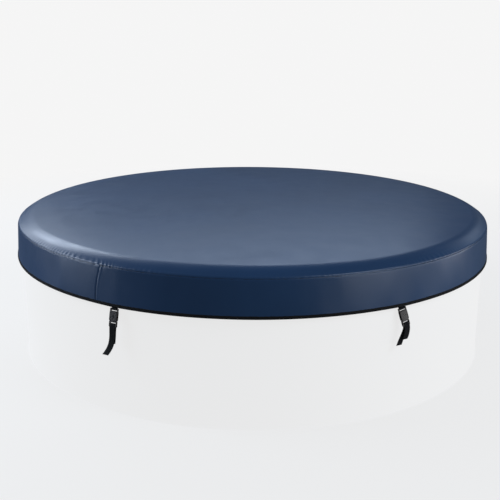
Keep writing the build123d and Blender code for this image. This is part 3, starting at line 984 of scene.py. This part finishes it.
class SPA_OT_stage(Operator):
    """Build the pale floor and stand, the soft lights and the camera"""

    bl_idname = "spa_cover.stage"
    bl_label = "Stage"

    def execute(self, context):
        self.floor()
        self.lights()
        self.camera()
        context.scene.view_settings.view_transform = "Standard"
        return {"FINISHED"}

    def floor(self):
        drop = settings().floor_drop
        stand_r, stand_top, hollow_r = 1.020, LINER_Z - 2 * MM, 0.80
        profile = [
            (0, -drop),
            (hollow_r, -drop),
            (hollow_r, stand_top),
            (stand_r - 0.035, stand_top),
            (stand_r - 0.005, stand_top - 0.03),
            (stand_r, stand_top - 0.06),
            (stand_r, -drop + 0.01),
            (stand_r + 0.003, -drop + 0.003),
            (stand_r + 0.01, -drop),
            (2, -drop),
            (4.6, -drop),
        ]
        obj = wrap("studio_floor", profile[::-1], 256)
        obj.data.materials.append(self.paper())
        smooth(obj, 40)
        obj.visible_glossy = False
        obj.visible_diffuse = False

    def paper(self):
        """Pale paper that is bright by itself, takes soft shadows and fades away far out."""
        n = Nodes("floor_finish", Roughness=0.9, Specular_IOR_Level=0.0, Emission_Strength=0.76)
        n.shader.inputs["Base Color"].default_value = (0.16, 0.16, 0.16, 1)
        n.shader.inputs["Emission Color"].default_value = (1, 1, 1, 1)
        flat = n.tree.nodes.new("ShaderNodeVectorMath")
        flat.operation = "LENGTH"
        n.link(n.mapped(scale=(1, 1, 0)), flat.inputs[0])
        clear = n.tree.nodes.new("ShaderNodeBsdfTransparent")
        mix = n.tree.nodes.new("ShaderNodeMixShader")
        n.link(n.ramp(flat.outputs["Value"], 0.0, 1.0, (1.6, 4.5)), mix.inputs["Fac"])
        n.link(n.shader.outputs["BSDF"], mix.inputs[1])
        n.link(clear.outputs["BSDF"], mix.inputs[2])
        n.link(mix.outputs["Shader"], n.tree.nodes["Material Output"].inputs["Surface"])
        return n.material

    def lights(self):
        middle = (0, 0, 0.15)
        cool, blue = (0.86, 0.97, 1.12), (0.80, 0.97, 1.22)
        softbox("back_softbox", (-0.8, 4.7, 2.95), middle, (6.4, 1.2), 46, blue)
        softbox("rear_left_softbox", (-4.6, 2.5, 2.5), middle, (4.2, 2.5), 86, cool)
        softbox("far_left_softbox", (-3.0, 4.3, 3.3), middle, (2.2, 1.6), 50, cool)
        softbox("rear_right_softbox", (4.2, 3.6, 2.2), middle, (2.2, 1.2), 6, blue)
        softbox("left_softbox", (-4.9, -0.4, 2.6), middle, (3.0, 2.0), 105, cool)
        softbox("front_right_softbox", (3.6, -3.0, 3.6), middle, (3.0, 2.0), 95, cool)
        low = (0, 0, -0.1)
        softbox("low_left_softbox", (-4.6, -0.6, -0.12), low, (3.4, 0.55), 30, cool)
        softbox("low_right_softbox", (4.8, -0.2, -0.12), low, (3.0, 0.55), 32)
        softbox("low_front_right_softbox", (3.7, -3.2, -0.12), low, (3.0, 0.55), 30)
        world = bpy.data.worlds.new("studio")
        bpy.context.scene.world = world
        world.use_nodes = True
        tree = world.node_tree
        light = tree.nodes["Background"]
        light.inputs["Color"].default_value = (0.85, 0.93, 1.0, 1)
        light.inputs["Strength"].default_value = 0.09
        seen = tree.nodes.new("ShaderNodeBackground")
        seen.inputs["Color"].default_value = (0.915, 0.915, 0.915, 1)
        rays = tree.nodes.new("ShaderNodeLightPath")
        mix = tree.nodes.new("ShaderNodeMixShader")
        tree.links.new(rays.outputs["Is Camera Ray"], mix.inputs["Fac"])
        tree.links.new(light.outputs[0], mix.inputs[1])
        tree.links.new(seen.outputs[0], mix.inputs[2])
        tree.links.new(mix.outputs[0], tree.nodes["World Output"].inputs["Surface"])

    def camera(self):
        """Eye level a little above the cover, looking down over its front."""
        distance, height, swing = 3.64, 0.977, -1.4
        pitch, pan, roll = 15.7, 0.164, 0.32
        data = bpy.data.cameras.new("camera")
        data.lens = 59.0
        data.sensor_width = 36.0
        obj = bpy.data.objects.new("camera", data)
        bpy.context.scene.collection.objects.link(obj)
        place = from_polar(distance, swing, height)
        turn = Matrix.Rotation(math.radians(swing + pan), 4, "Z")
        tilt = Matrix.Rotation(math.radians(90 - pitch), 4, "X")
        obj.matrix_world = Matrix.Translation(Vector(place)) @ turn @ tilt @ Matrix.Rotation(
            math.radians(roll), 4, "Z"
        )
        bpy.context.scene.camera = obj


class SPA_PT_panel(Panel):
    """Buttons and settings of the spa cover"""

    bl_label = "Spa Cover"
    bl_idname = "SPA_PT_panel"
    bl_space_type = "VIEW_3D"
    bl_region_type = "UI"
    bl_category = "Spa Cover"

    def draw(self, context):
        for name in settings().bl_rna.properties.keys():
            if name not in {"rna_type", "name"}:
                self.layout.prop(settings(), name)
        for operator in OPERATORS:
            self.layout.operator(operator.bl_idname)


OPERATORS = (
    SPA_OT_crown,
    SPA_OT_skirt,
    SPA_OT_hem,
    SPA_OT_liner,
    SPA_OT_zip,
    SPA_OT_straps,
    SPA_OT_hardware,
    SPA_OT_stage,
)


def register():
    for cls in (SpaCoverSettings, *OPERATORS, SPA_PT_panel):
        bpy.utils.register_class(cls)
    bpy.types.Scene.spa_cover = PointerProperty(type=SpaCoverSettings)


def unregister():
    del bpy.types.Scene.spa_cover
    for cls in (SPA_PT_panel, *reversed(OPERATORS), SpaCoverSettings):
        bpy.utils.unregister_class(cls)


def main():
    register()
    bpy.ops.spa_cover.crown()
    bpy.ops.spa_cover.skirt()
    bpy.ops.spa_cover.hem()
    bpy.ops.spa_cover.liner()
    bpy.ops.spa_cover.zip()
    bpy.ops.spa_cover.straps()
    bpy.ops.spa_cover.hardware()
    bpy.ops.spa_cover.stage()


if __name__ == "__main__":
    main()
